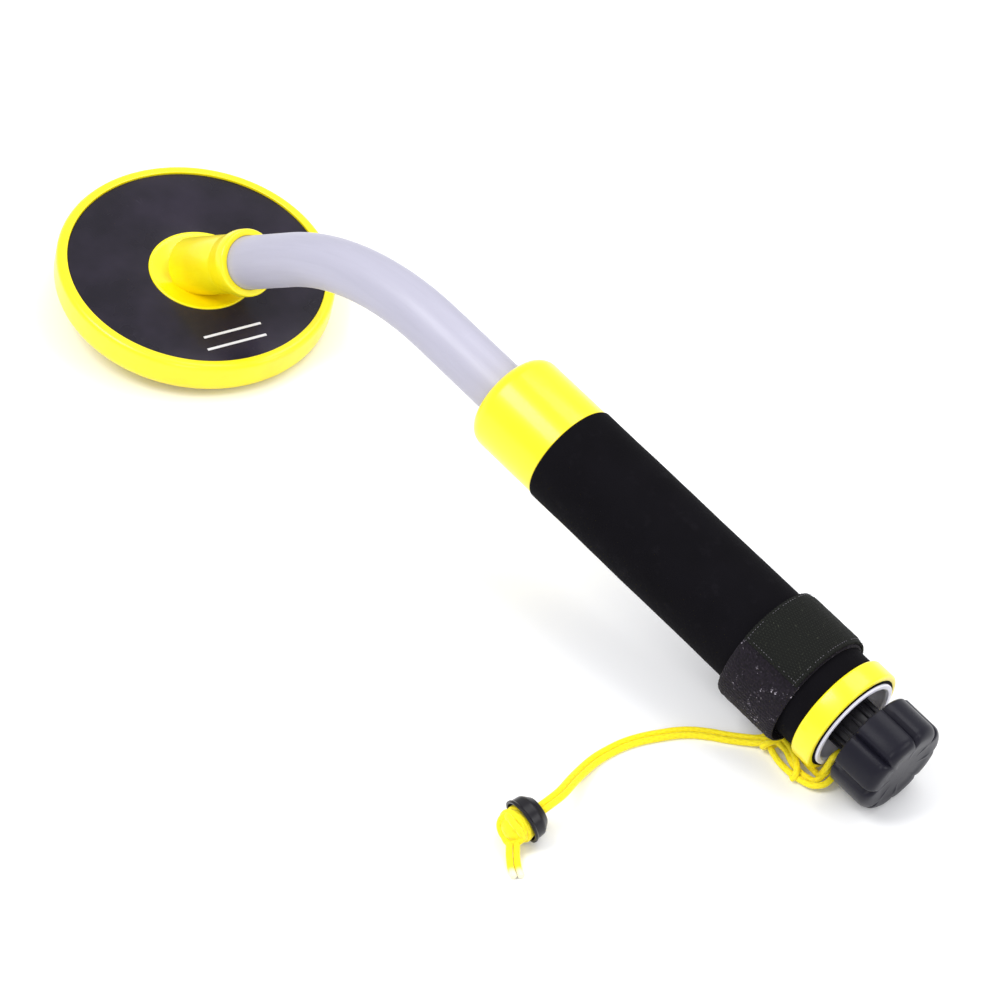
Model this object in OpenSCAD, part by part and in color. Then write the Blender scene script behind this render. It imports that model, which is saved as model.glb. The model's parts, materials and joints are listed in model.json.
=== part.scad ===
// Hand-held underwater probe: round search coil, bent tube, sleeved battery handle
// with a screw-clamped rubber plug, wrist strap and knotted lanyard.
// Millimetres, +Z up. It stands as it does on a table: on the coil's low edge and
// the knob. Origin: centre of the footprint, on the table. +X points to the knob.

/* [Coil head] */
// Outside diameter of the coil housing
coil_d = 143; // [135:1:155]
// Thickness of the coil housing
coil_h = 20; // [18:0.5:24]
// Diameter of the dark face plate
plate_d = 132; // [126:1:134]
// Thickness of the face plate
plate_h = 2.5; // [2:0.5:3]
// Diameter of the dished recess around the tube socket
dish_d = 54; // [48:1:58]
// Depth of the dished recess
dish_h = 7; // [5:0.5:8]

/* [Tube] */
// Outside diameter of the bent tube
tube_d = 27; // [25:0.5:28]
// Wall of the bent tube
tube_wall = 2.9; // [2:0.1:3.5]
// Angle at which the tube leaves the coil
lift_angle = 43.5; // [40:0.5:48]
// Length from the coil's centre to the start of the bend
rise_len = 82.5; // [70:0.5:95]
// Radius of the bend, to the tube's centre
bend_r = 131.5; // [120:0.5:145]
// Angle that the tube is bent through
bend_angle = 46; // [42:0.5:48]
// Straight length between the bend and the handle
neck_len = 49; // [40:1:60]
// Length of the socket that holds the tube, from the coil's centre
socket_len = 46; // [42:1:50]

/* [Handle] */
// Outside diameter of the handle pipe
pipe_d = 48.3; // [46:0.1:50]
// Wall of the handle pipe
pipe_wall = 3.2; // [2.5:0.1:4]
// Thickness of the grip sleeve
sleeve_wall = 2.1; // [1.5:0.1:3]
// Length of the front collar
collar_len = 44; // [40:1:50]
// Length of the grip sleeve
sleeve_len = 178.5; // [170:0.5:190]
// Length of the ring at the battery end
ring_len = 11.5; // [9:0.5:14]
// Outside diameter of the ring at the battery end
ring_d = 57; // [54:0.5:60]

/* [Plug and knob] */
// Diameter of the knob over its lobes
knob_d = 50; // [46:1:54]
// Length of the knob
knob_len = 23.5; // [20:0.5:28]
// Number of lobes
lobes = 8; // [6:2:10]
// Diameter of the clamp screw
screw_d = 8; // [6:1:8]
// Depth of the plug's face inside the pipe
plug_depth = 8.5; // [7:0.5:12]

/* [Strap and lanyard] */
// Width of the wrist strap
strap_w = 35; // [30:1:38]
// Thickness of the strap webbing
strap_t = 1.6; // [1.2:0.1:2]
// Slack of the strap at its widest
strap_slack = 3.6; // [2:0.2:8]
// Diameter of one strand of the lanyard
cord_d = 3.2; // [2.5:0.1:3.6]
// Diameter of the stopper knot
knot_d = 18; // [16:1:18]

/* [Hidden] */
$fn = 96;
gap = 0.1;              // assembly clearance on a diameter
run = 0.05;             // radial clearance of a turning or sliding fit
over = 1;               // how far a cutting solid runs past the face it cuts

// Coil housing: radii of its lower and upper edges, and levels below the plate's face
low_round = 8;
rim_round = 3;
rim_up = 1.2;
coil_r = coil_d / 2;
plate_r = plate_d / 2;
dish_r = dish_d / 2;
coil_low = rim_up - coil_h;
dish_off = 3.5;         // the recess sits a little towards the handle
lip_up = 0.3;           // its lip stands this far above the plate
dish_lip = 1.2;         // width of that lip
channel = [38, 62];     // inner and outer radius of the winding channel
channel_low = -15;
winding_r = 54;
winding_t = 4.5;
winding_z = -7.5;

// Socket
socket_wall = 1.5;
socket_low = -4;        // the socket's foot, along the tube from the coil's centre
socket_lip = 2.2;       // how far the mouth's lip stands out
lip_len = 9;
tube_low = 3;
bend_steps = 16;
lead_d = 4.8;
lead_turn = -11.6;      // where the lead turns outwards, along the tube
ring_t = 1.6;           // section of both O-rings
socket_ring_at = 41;
collar_ring_at = 5;

// Handle, measured along its axis from the collar's front face
sleeve_at = collar_len;
ring_at = sleeve_at + sleeve_len;
ring_end = ring_at + ring_len;
pipe_at = 22;
pipe_end = ring_end + 1.5;
tube_end = 20;
collar_r = pipe_d / 2 + 1.5;
collar_round = 8;
pipe_r = pipe_d / 2;
bore_r = pipe_r - pipe_wall;
sleeve_r = pipe_r + sleeve_wall;
tube_r = tube_d / 2;
seal_at = [8, 18];

// Electronics, along the handle; the board lies just below the axis
board_at = 42;
board_len = 92;
board_w = 34;
board_t = 1.6;
board_x = 4;
motor_at = 111;
motor_r = 5;
motor_x = board_x - motor_r;
battery_at = 146;
battery = [17.5, 26.5, 48.5];
snap_t = 4.4;

// Plug, along the handle
plug_face = pipe_end - plug_depth;
flange_t = 3;
bung_len = 14;
bung_end = plug_face - flange_t;
clamp_end = bung_end - bung_len;
clamp_t = 4;
boss_r = 13;
washer_t = 1.1;
cord_hole_x = 8.2;      // the lanyard's hole, this far below the neck's axis
knob_at = ring_end + 10.2;
knob_end = knob_at + knob_len;
screw_r = screw_d / 2;
nut_t = 5.5;
stud_at = clamp_end - clamp_t - nut_t - 1;

// Knob outline: equal lobes around the axis, a valley at the bottom
knob_round = 5;
lobe_c = knob_d * 0.304;
lobe_r = knob_d / 2 - lobe_c;
lobe_step = 360 / lobes;
lobe_bulge = 0.42;      // the lobes' flanks are rounded less than their tips
knob_drop = lobe_c * cos(lobe_step / 2) + lobe_r - knob_round + lobe_bulge;

// The bend's end and the knob's low edge, in the coil's own upright plane
bend_c = [
    rise_len * cos(lift_angle) + bend_r * sin(lift_angle),
    rise_len * sin(lift_angle) - bend_r * cos(lift_angle)
];
dip = bend_angle - lift_angle;
bend_end = bend_c + bend_r * [sin(dip), cos(dip)];
low_edge = bend_end + (neck_len + knob_end - knob_round) * [cos(dip), -sin(dip)]
    - knob_drop * [sin(dip), cos(dip)];
coil_edge = [coil_r - low_round, coil_low + low_round];
edge_line = low_edge - coil_edge;

// Tilt of the coil when its low edge and the knob both touch the table
tilt = atan2(edge_line[1], edge_line[0]) + asin((low_round - knob_round) / norm(edge_line));
lift = coil_edge[0] * sin(tilt) - coil_edge[1] * cos(tilt) + low_round;
reach_low = -coil_edge[0] * cos(tilt) + coil_edge[1] * sin(tilt) - low_round;
top_edge = low_edge + 2 * knob_drop * [sin(dip), cos(dip)];
reach_high = top_edge[0] * cos(tilt) + top_edge[1] * sin(tilt) + knob_round;
shift = -(reach_low + reach_high) / 2;

// Lanyard, laid on the table: points along the doubled cord, from the hitch to the knot
cord_route = [
    [207, -10.5, 5], [206, -13, 5], [203, -17.5, 3], [197, -22, 2], [190, -27, 1.7],
    [184, -31, 1.7], [178, -36, 1.7], [173, -42, 1.7], [169, -49, 1.7], [165, -57, 1.7],
    [162, -66, 1.7], [160.7, -75, 1.7], [160.6, -83, 2.1], [162.6, -92.5, 4], [167, -105.5, 8],
    [172, -118.5, 12.1], [174.4, -130.2, 14.6], [173.8, -134.5, 13.5], [173.1, -139, 12.4]
];
knot_at = [172, -147, 10.4];
cup_r = knot_d / 2 + 1.6;
cup_low = 2.4;           // the cup's mouth, from the knot's middle
cup_len = 11.4;
cup_turn = 82;
cup_rise = 14;
tail_route = [[176, -153, 6.5], [179, -156, 3.4], [184, -160, 1.7], [189, -163, 1.7]];
// Loop from the hitch up through the plug's neck and back under it
loop_route = [
    [208.5, -11.2, 5.2], [213.5, -11.8, 4.8], [219.5, -13, 5.5], [224.5, -13, 5],
    [231.5, -14, 4], [237.5, -15, 4.5], [240, -14.5, 10], [242, -13.5, 17], [243.4, -13.6, 19.9],
    [243.9, -10.5, 21], [243.9, 0, 21], [243.9, 10.5, 21], [244, 13.6, 19.5], [244, 14, 15],
    [243.5, 11, 11], [243.5, 4, 9], [243.5, -4, 8], [243.5, -11.5, 6], [243, -17.5, 4],
    [239, -21.5, 3], [232, -22.5, 2.4], [224.5, -22.3, 2.4], [217, -20.8, 2.6],
    [210.5, -18.2, 3.2], [206.6, -15.2, 4], [205.9, -12.6, 4.8]
];

// --- Frames -------------------------------------------------------------

module on_coil() translate([shift, 0, lift]) rotate([0, tilt, 0]) children();
module on_tube() on_coil() rotate([0, 90 - lift_angle, 0]) children();
module on_handle(along = 0)
    on_tube()
        translate([bend_r * (1 - cos(bend_angle)), 0, rise_len + bend_r * sin(bend_angle)])
            rotate([0, bend_angle, 0])
                translate([0, 0, neck_len + along]) children();

// --- Shared shapes ------------------------------------------------------

function arc(c, r, from, to, steps = 12) =
    [for (i = [0:steps]) let (a = from + (to - from) * i / steps) c + r * [cos(a), sin(a)]];

module ring(r_in, r_out, len, at = 0)
    translate([0, 0, at])
        difference() {
            cylinder(r = r_out, h = len);
            translate([0, 0, -over]) cylinder(r = r_in, h = len + 2 * over);
        }

module disc(r, len, at = 0) translate([0, 0, at]) cylinder(r = r, h = len);

module block(size, at) translate(at - [size[0] / 2, size[1] / 2, 0]) cube(size);

// Points of the tube's centre in its upright plane, each with the angle it heads at
function tube_line(from, to) = concat(
    [[[0, from], 0]],
    [for (i = [0:bend_steps]) let (a = bend_angle * i / bend_steps)
        [[bend_r * (1 - cos(a)), rise_len + bend_r * sin(a)], a]],
    [[[bend_r * (1 - cos(bend_angle)) + to * sin(bend_angle),
       rise_len + bend_r * sin(bend_angle) + to * cos(bend_angle)], bend_angle]]);

// Rings of points around such a line
function rings(line, r, sides) = [for (p = line) [for (k = [0:sides - 1])
    let (x = r * cos(360 * k / sides), y = r * sin(360 * k / sides))
    [p[0][0] + x * cos(p[1]), y, p[0][1] - x * sin(p[1])]]];

// A solid through rings of points; closed joins the last ring to the first
module skin(hoops, closed = false) {
    n = len(hoops);
    sides = len(hoops[0]);
    walls = [for (i = [0:closed ? n - 1 : n - 2], k = [0:sides - 1])
        let (j = (i + 1) % n, m = (k + 1) % sides)
        each [
            [i * sides + k, j * sides + m, i * sides + m],
            [i * sides + k, j * sides + k, j * sides + m]
        ]];
    start = [[for (k = [0:sides - 1]) k]];
    end = [[for (k = [sides - 1:-1:0]) (n - 1) * sides + k]];
    polyhedron([for (h = hoops) each h], closed ? walls : concat(walls, start, end),
               convexity = 6);
}

// Unit direction of a route at point i
function unit(v) = v / norm(v);
function heading(path, i, closed) =
    let (n = len(path), a = closed ? (i + n - 1) % n : max(i - 1, 0),
         b = closed ? (i + 1) % n : min(i + 1, n - 1))
    unit(path[b] - path[a]);

// One ring of points around a route: wide across the table, high above it
function hoop(path, i, wide, high, sides, closed) =
    let (d = heading(path, i, closed), s = unit(cross([0, 0, 1], d)), u = cross(d, s))
    [for (k = [0:sides - 1]) let (a = 360 * k / sides)
        path[i] + s * wide / 2 * cos(a) + u * high / 2 * sin(a)];

module sweep(path, wide, high, sides = 8, closed = false)
    skin([for (i = [0:len(path) - 1]) hoop(path, i, wide, high, sides, closed)], closed);

// --- Coil head ----------------------------------------------------------

// Housing section: rounded outer edges, winding channel open at the top
module shell_section()
    polygon(concat(
        [[0, coil_low]],
        arc(coil_edge, low_round, -90, 0),
        arc([coil_r - rim_round, rim_up - rim_round], rim_round, 0, 90),
        [
            [plate_r + gap / 2, rim_up], [plate_r + gap / 2, -plate_h],
            [channel[1], -plate_h], [channel[1], channel_low],
            [channel[0], channel_low], [channel[0], -plate_h],
            [0, -plate_h]
        ]));

module coil_shell()
    color("gold")
        on_coil()
            difference() {
                union() {
                    rotate_extrude($fn = 180) shell_section();
                    translate([dish_off, 0, -plate_h - over])
                        cylinder(r = dish_r, h = plate_h + over + lip_up);
                }
                dish_cut();
                rotate([0, 90 - lift_angle, 0]) {
                    disc(tube_r + socket_wall + run, socket_len, socket_low);
                    disc(lead_d / 2 + run, socket_low - lead_turn + over, lead_turn);
                    translate([0, 0, lead_turn]) sphere(lead_d / 2 + 3 * gap);
                }
                translate([lead_turn * cos(lift_angle), 0, lead_turn * sin(lift_angle)])
                    rotate([0, -90, 0]) cylinder(r = lead_d / 2 + run, h = channel[0]);
            }

// The recess is a shallow bowl: a large sphere cuts it
module dish_cut() {
    mouth_r = dish_r - dish_lip;
    ball_r = (mouth_r * mouth_r + dish_h * dish_h) / (2 * dish_h);
    translate([dish_off, 0, lip_up - dish_h + ball_r]) sphere(ball_r, $fn = 180);
}

module face_plate()
    color([0.14, 0.12, 0.16])
        on_coil()
            difference() {
                disc(plate_r, plate_h, -plate_h);
                translate([dish_off, 0, -plate_h - over])
                    cylinder(r = dish_r + gap / 2, h = plate_h + 2 * over);
            }

module coil_winding()
    color([0.72, 0.4, 0.2])
        on_coil()
            translate([0, 0, winding_z])
                rotate_extrude() translate([winding_r, 0]) circle(winding_t);

// Resin around the lower half of the winding, notched for the lead
module coil_potting()
    color([0.25, 0.22, 0.2])
        on_coil()
            difference() {
                ring(channel[0] + gap, channel[1] - gap, winding_z - channel_low, channel_low);
                translate([0, 0, winding_z])
                    rotate_extrude() translate([winding_r, 0]) circle(winding_t);
                translate([0, 0, lead_turn * sin(lift_angle)])
                    rotate([0, -90, 0]) cylinder(r = lead_d / 2 + run, h = winding_r);
            }

module hub_socket()
    color("gold")
        on_tube()
            difference() {
                union() {
                    disc(tube_r + socket_wall, socket_len - socket_low, socket_low);
                    rotate_extrude() socket_lip_section();
                }
                disc(tube_r + run, socket_len, tube_low);
                disc(lead_d / 2 + run, socket_len, socket_low - over);
                translate([0, 0, socket_ring_at])
                    rotate_extrude() translate([tube_r + ring_t / 2, 0]) circle(ring_t / 2 + run);
            }

// A swelling around the socket's mouth, rounded at the front
module socket_lip_section() {
    r = tube_r + socket_wall;
    polygon(concat(
        [[r - over, socket_len - lip_len], [r, socket_len - lip_len]],
        arc([r + socket_lip - 1.5, socket_len - 1.5], 1.5, 0, 90),
        [[r - over, socket_len]]));
}

module socket_o_ring() color("black") on_tube() o_ring(socket_ring_at);

module o_ring(at)
    translate([0, 0, at])
        rotate_extrude() translate([tube_r + ring_t / 2, 0]) circle(ring_t / 2);

// --- Tube and lead ------------------------------------------------------

module bent_tube() {
    line = tube_line(tube_low, neck_len + tube_end);
    back = [for (i = [len(line) - 1:-1:0]) line[i]];
    color([0.78, 0.78, 0.86])
        on_tube()
            skin(concat(rings(line, tube_r, 48), rings(back, tube_r - tube_wall, 48)), true);
}

// The lead leaves the winding level with the coil and turns up into the tube
module coil_lead() {
    away = [sin(lift_angle), cos(lift_angle)];
    flat_len = winding_r - winding_t - gap + lead_turn * cos(lift_angle);
    color([0.2, 0.2, 0.22])
        on_tube()
            skin(rings(concat(
                [[[0, lead_turn] - flat_len * away, lift_angle], [[0, lead_turn], lift_angle / 2]],
                tube_line(tube_low, neck_len + board_at + 2)), lead_d / 2, 12));
}

module lead_seal()
    color([0.1, 0.1, 0.1])
        on_handle() ring(lead_d / 2 + run, tube_r - tube_wall - run, seal_at[1] - seal_at[0], seal_at[0]);

module lead_connector()
    color("white")
        on_handle() block([2 * board_x, 10, 9], [0, 0, board_at + 2]);

// --- Handle -------------------------------------------------------------

module reducer_collar()
    color("gold")
        on_handle()
            difference() {
                rotate_extrude()
                    polygon(concat(
                        [[tube_r + run, 0]],
                        arc([collar_r - collar_round, collar_round], collar_round, -90, 0),
                        [[collar_r, collar_len], [pipe_r + run, collar_len],
                         [pipe_r + run, pipe_at], [tube_r + run, pipe_at]]));
                translate([0, 0, collar_ring_at])
                    rotate_extrude() translate([tube_r + ring_t / 2, 0]) circle(ring_t / 2 + run);
            }

module collar_o_ring() color("black") on_handle() o_ring(collar_ring_at);

module handle_pipe()
    color("white")
        on_handle() ring(bore_r, pipe_r, pipe_end - pipe_at, pipe_at);

module grip_sleeve()
    color([0.05, 0.05, 0.06])
        on_handle() ring(pipe_r, sleeve_r, sleeve_len, sleeve_at);

module end_ring()
    color("gold")
        on_handle()
            rotate_extrude() {
                round = 1.5;
                polygon(concat(
                    [[pipe_r, ring_at]],
                    arc([ring_d / 2 - round, ring_at + round], round, -90, 0, 6),
                    arc([ring_d / 2 - round, ring_end - round], round, 0, 90, 6),
                    [[pipe_r, ring_end]]));
            }

// --- Electronics --------------------------------------------------------

module circuit_board()
    color("darkgreen")
        on_handle() block([board_t, board_w, board_len], [board_x + board_t / 2, 0, board_at]);

// Cans that stand up from the board, at [sideways, along, radius, height]
module capacitors()
    color([0.15, 0.2, 0.45])
        on_handle()
            for (c = [[-9, 68, 4, 11], [9, 68, 4, 11], [0, 76, 5, 13]])
                translate([board_x, c[0], c[1]]) rotate([0, -90, 0]) cylinder(r = c[2], h = c[3]);

module chips()
    color([0.1, 0.1, 0.1])
        on_handle()
            for (c = [[-10, 84], [10, 84], [-10, 92], [10, 92]])
                block([2, 10, 5], [board_x - 1, c[0], c[1]]);

module power_transistor()
    color([0.12, 0.12, 0.13])
        on_handle() block([4.5, 10, 15], [board_x - 2.25, 0, 85]);

// Foam rounds that hold the board in the pipe
module foam_discs()
    color([0.3, 0.3, 0.32])
        on_handle()
            for (at = [55, 102])
                difference() {
                    disc(bore_r - gap, 5, at);
                    block([board_t + gap, board_w + gap, 5 + 2 * over],
                          [board_x + board_t / 2, 0, at - over]);
                }

module motor_can()
    color("silver")
        on_handle()
            translate([motor_x, 0, motor_at])
                difference() {
                    cylinder(r = motor_r, h = 12);
                    translate([0, 0, 2]) cylinder(r = 0.75 + run, h = 12);
                }

module motor_shaft()
    color("dimgray")
        on_handle() translate([motor_x, 0, motor_at + 3]) cylinder(r = 0.75, h = 16);

// Half-round weight that shakes the handle as it spins
module motor_weight()
    color([0.55, 0.5, 0.4])
        on_handle()
            translate([motor_x, 0, motor_at + 13])
                difference() {
                    intersection() {
                        cylinder(r = 4.4, h = 5);
                        translate([-0.9, -5, 0]) cube([10, 10, 5]);
                    }
                    translate([0, 0, -over]) cylinder(r = 0.75, h = 5 + 2 * over);
                }

module battery()
    color([0.2, 0.25, 0.3])
        on_handle() block(battery, [0, 0, battery_at]);

module battery_snap()
    color("black")
        on_handle() block([battery[0] - 0.5, battery[1] - 0.5, snap_t], [0, 0, battery_at - snap_t]);

module snap_lead(side) {
    from = board_at + board_len;
    on_handle()
        translate([board_x + board_t / 2, side, from])
            cylinder(r = 0.8, h = battery_at - snap_t - from);
}

module red_lead() color("red") snap_lead(5);
module black_lead() color("black") snap_lead(-5);

module battery_cradle()
    color([0.3, 0.3, 0.32])
        on_handle()
            difference() {
                disc(bore_r - gap, 30, battery_at + 9);
                block([battery[0] + gap, battery[1] + gap, 32], [0, 0, battery_at + 8]);
            }

// --- Plug and knob ------------------------------------------------------

// Flange and ribbed neck that the knob bears on; the lanyard goes through the neck
module plug_boss()
    color([0.1, 0.1, 0.11])
        on_handle()
            difference() {
                union() {
                    disc(bore_r - 0.4, flange_t, bung_end);
                    disc(boss_r - 1, knob_at - washer_t - gap - plug_face, plug_face);
                    for (a = [0:30:330])
                        rotate(a) translate([boss_r - 1, 0, 0])
                            disc(1, knob_at - washer_t - gap - plug_face - 1, plug_face);
                }
                disc(screw_r + run, 40, bung_end - over);
                translate([cord_hole_x, 0, knob_at - 5])
                    rotate([90, 0, 0]) cylinder(r = cord_d / 2 + 2 * gap, h = 3 * boss_r, center = true);
            }

module plug_bung()
    color([0.08, 0.08, 0.08])
        on_handle() ring(screw_r + run, bore_r - 0.2, bung_len, clamp_end);

module clamp_disc()
    color([0.15, 0.15, 0.16])
        on_handle() ring(screw_r + run, bore_r - 1.2, clamp_t, clamp_end - clamp_t);

module clamp_nut()
    color("silver")
        on_handle()
            translate([0, 0, clamp_end - clamp_t - nut_t])
                difference() {
                    cylinder(r = screw_r * 1.88, h = nut_t, $fn = 6);
                    translate([0, 0, -over]) cylinder(r = screw_r + run, h = nut_t + 2 * over);
                }

module thrust_washer()
    color("silver")
        on_handle() ring(screw_r + run, 9, washer_t, knob_at - washer_t - gap);

module knob_outline() {
    circle(lobe_c);
    for (i = [0:lobes - 1])
        rotate((i + 0.5) * lobe_step) translate([lobe_c, 0]) circle(lobe_r);
}

module knob()
    color([0.16, 0.16, 0.2])
        on_handle()
            difference() {
                intersection() {
                    translate([0, 0, knob_at]) linear_extrude(knob_len) knob_outline();
                    rotate_extrude()
                        polygon(concat(
                            [[0, knob_at], [knob_d / 2 - 2, knob_at]],
                            arc([knob_d / 2 - 2, knob_at + 2], 2, -90, 0, 6),
                            arc([knob_d / 2 - knob_round, knob_end - knob_round], knob_round, 0, 90),
                            [[0, knob_end]]));
                }
                disc(screw_r, knob_len - 3.9 + over, knob_at - over);
            }

module knob_stud()
    color("silver")
        on_handle() disc(screw_r, knob_end - 4 - stud_at, stud_at);

// --- Strap --------------------------------------------------------------

// The strap lies on the sleeve but for one slack side, low and away from the board
strap_in = sleeve_r + 0.3;
slack_side = -52;
function strap_r(a, extra) =
    let (off = (a - slack_side + 540) % 360 - 180)
    strap_in + extra + strap_slack * exp(-pow(off / 34, 2));
function strap_line(extra) = [for (a = [0:5:355]) strap_r(a, extra) * [cos(a), sin(a)]];

module wrist_strap()
    color([0.07, 0.07, 0.08])
        on_handle(ring_at - 10.5 - strap_w)
            linear_extrude(strap_w)
                difference() {
                    polygon(strap_line(strap_t));
                    polygon(strap_line(0));
                }

// Hook patch that closes the strap on its upper side
module strap_patch()
    color([0.1, 0.1, 0.08])
        on_handle(ring_at - 10 - strap_w)
            rotate(98)
                rotate_extrude(angle = 132)
                    translate([strap_in + strap_t + 0.2, 0]) square([1.8, strap_w - 1]);

// --- Lanyard ------------------------------------------------------------

module lanyard_loop() color("yellow") sweep(loop_route, cord_d, cord_d, closed = true);
module lanyard_cord() color("yellow") sweep(cord_route, 2 * cord_d, cord_d, sides = 10);

module lanyard_tails()
    color("yellow")
        for (side = [-1, 1])
            sweep([for (p = tail_route) p + side * [0.31, 0.42, 0] * cord_d], cord_d, cord_d);

module lanyard_knot() color("yellow") translate(knot_at) sphere(knot_d / 2, $fn = 48);

// Bell that slides on the doubled cord and sits over the knot
module cord_cup()
    color([0.1, 0.1, 0.12])
        translate(knot_at)
            rotate([0, 90 - cup_rise, cup_turn])
                difference() {
                    rotate_extrude($fn = 48)
                        polygon(concat(
                            [[0, cup_low], [cup_r, cup_low]],
                            arc([cup_r - 6.4, cup_low + cup_len - 7.6], 6.4, 0, 78),
                            [[0, cup_low + cup_len - 1.2]]));
                    sphere(knot_d / 2 + 0.3, $fn = 48);
                    cylinder(r = 1.6 * cord_d, h = 2 * knot_d);
                }

coil_shell();
face_plate();
coil_winding();
coil_potting();
hub_socket();
socket_o_ring();
bent_tube();
coil_lead();
lead_seal();
lead_connector();
reducer_collar();
collar_o_ring();
handle_pipe();
grip_sleeve();
end_ring();
circuit_board();
capacitors();
chips();
power_transistor();
foam_discs();
motor_can();
motor_shaft();
motor_weight();
battery();
battery_snap();
red_lead();
black_lead();
battery_cradle();
plug_boss();
plug_bung();
clamp_disc();
clamp_nut();
thrust_washer();
knob();
knob_stud();
wrist_strap();
strap_patch();
lanyard_loop();
lanyard_cord();
lanyard_tails();
lanyard_knot();
cord_cup();
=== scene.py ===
import json
import math
import random

import bmesh
import bpy
from mathutils import Matrix, Vector, noise


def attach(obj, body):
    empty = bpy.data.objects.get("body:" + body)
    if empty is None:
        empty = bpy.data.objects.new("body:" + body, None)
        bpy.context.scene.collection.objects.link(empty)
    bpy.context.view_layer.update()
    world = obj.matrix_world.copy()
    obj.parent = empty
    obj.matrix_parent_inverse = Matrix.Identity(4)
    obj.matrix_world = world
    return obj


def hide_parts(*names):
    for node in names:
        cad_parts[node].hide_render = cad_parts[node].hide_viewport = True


bl_info = {
    "name": "Underwater Probe",
    "version": (1, 0, 0),
    "blender": (4, 5, 0),
    "location": "View3D > Sidebar > Probe",
    "description": "Search coil on a bent tube with a sleeved handle, strap and lanyard",
    "category": "Object",
}

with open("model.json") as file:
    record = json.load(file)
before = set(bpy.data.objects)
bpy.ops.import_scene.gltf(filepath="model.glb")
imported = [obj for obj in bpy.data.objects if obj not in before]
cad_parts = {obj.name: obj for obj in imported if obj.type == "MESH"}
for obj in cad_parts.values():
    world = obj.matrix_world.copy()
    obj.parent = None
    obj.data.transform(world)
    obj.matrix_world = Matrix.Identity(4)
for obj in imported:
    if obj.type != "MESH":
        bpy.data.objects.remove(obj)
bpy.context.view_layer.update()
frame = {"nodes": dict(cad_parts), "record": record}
RECORD = frame["record"]
MM = 0.001

# Places from the record: the handle's axis comes from the knob's hinge, the coil's
# plane from the face that it lies on. Lengths below are in millimetres.
JOINTS = {j["name"]: j for j in RECORD["behaviour"]["joints"]}
MOUNTS = {m["name"]: m for m in RECORD["mounts"]}
HINGE_AT = 255.7
COIL_LOW = 18.8
LIFT_ANGLE = 43.5
RISE, BEND_R, BEND, NECK = 82.5, 131.5, 46.0, 49.0
DISH_OFF = 3.5
TUBE_R, SOCKET_R = 13.5, 15.0
PIPE_R, BORE_R, SLEEVE_R = 24.15, 20.95, 26.25
COLLAR_LEN, SLEEVE_END, RING_END = 44.0, 222.5, 234.0
PIPE_END, PLUG_FACE = 235.5, 227.0
KNOB_AT = 244.2
STRAP_AT, STRAP_W = 177.0, 35.0

# Lanyard, in millimetres on the table: the doubled cord, its knot, the loop, the tails
CORD_ROUTE = [
    (207, -10.5, 5), (206, -13, 5), (203, -17.5, 3), (197, -22, 2), (190, -27, 1.7),
    (184, -31, 1.7), (178, -36, 1.7), (173, -42, 1.7), (169, -49, 1.7), (165, -57, 1.7),
    (162, -66, 1.7), (160.7, -75, 1.7), (160.6, -83, 2.1), (162.6, -92.5, 4),
    (167, -105.5, 8), (172, -118.5, 12.1), (174.4, -130.2, 14.6), (173.8, -134.5, 13.5),
    (173.1, -139, 12.4),
]
KNOT = (172, -147, 10.4)
TAIL_ROUTE = [(176, -153, 6.5), (179, -156, 3.4), (184, -160, 1.7), (189, -163, 1.7)]
LOOP_ROUTE = [
    (208.5, -11.2, 5.2), (213.5, -11.8, 4.8), (219.5, -13, 5.5), (224.5, -13, 5),
    (231.5, -14, 4), (237.5, -15, 4.5), (240, -14.5, 10), (242, -13.5, 17),
    (243.4, -13.6, 19.9), (243.9, -10.5, 21), (243.9, 0, 21), (243.9, 10.5, 21),
    (244, 13.6, 19.5), (244, 14, 15), (243.5, 11, 11), (243.5, 4, 9), (243.5, -4, 8),
    (243.5, -11.5, 6), (243, -17.5, 4), (239, -21.5, 3), (232, -22.5, 2.4),
    (224.5, -22.3, 2.4), (217, -20.8, 2.6), (210.5, -18.2, 3.2), (206.6, -15.2, 4),
    (205.9, -12.6, 4.8),
]
BIGHT_ROUTE = [
    (203.5, -16.8, 3.4), (206.6, -15.6, 5.4), (211.5, -15, 6), (217, -15.4, 5.2),
    (222, -17.6, 4), (227, -19.1, 3.2), (233, -19.3, 2.8), (238, -18.3, 3.2), (239.9, -14.2, 6.4),
    (240.2, -8.5, 8.1), (240.8, -3, 11), (241.7, 0.5, 14.9), (242.4, 1.5, 18),
]
CROSS_ROUTE = [
    (206.5, -13.2, 6), (210, -12.6, 7.2), (214.5, -12.8, 7), (219.5, -14.2, 6.6),
    (224, -16.8, 6.2), (228.3, -20.4, 5.4), (230.2, -23.4, 3.6), (229, -24.4, 1.9),
]
HITCH = (209.4, -14.9, 4.4)


def axes(x, y, z, at):
    m = Matrix((x, y, z)).transposed().to_4x4()
    m.translation = at
    return m


def frames():
    """Coil, tube and handle frames; their lengths are in metres."""
    side = Vector((0, 1, 0))
    down = Vector(MOUNTS["coil_underside"]["axis"])
    face = Vector(MOUNTS["coil_underside"]["pos_m"]) - down * COIL_LOW * MM
    coil = axes(side.cross(-down), side, -down, face)
    tube = coil @ Matrix.Rotation(math.radians(90 - LIFT_ANGLE), 4, "Y")
    hinge = JOINTS["knob_turn"]
    along = Vector(hinge["axis"])
    start = Vector(hinge["pos_m"]) - along * HINGE_AT * MM
    return coil, tube, axes(side.cross(along), side, along, start)


COIL, TUBE, HANDLE = frames()
WORLD = Matrix.Identity(4)


# --- Materials ---------------------------------------------------------------

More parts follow.
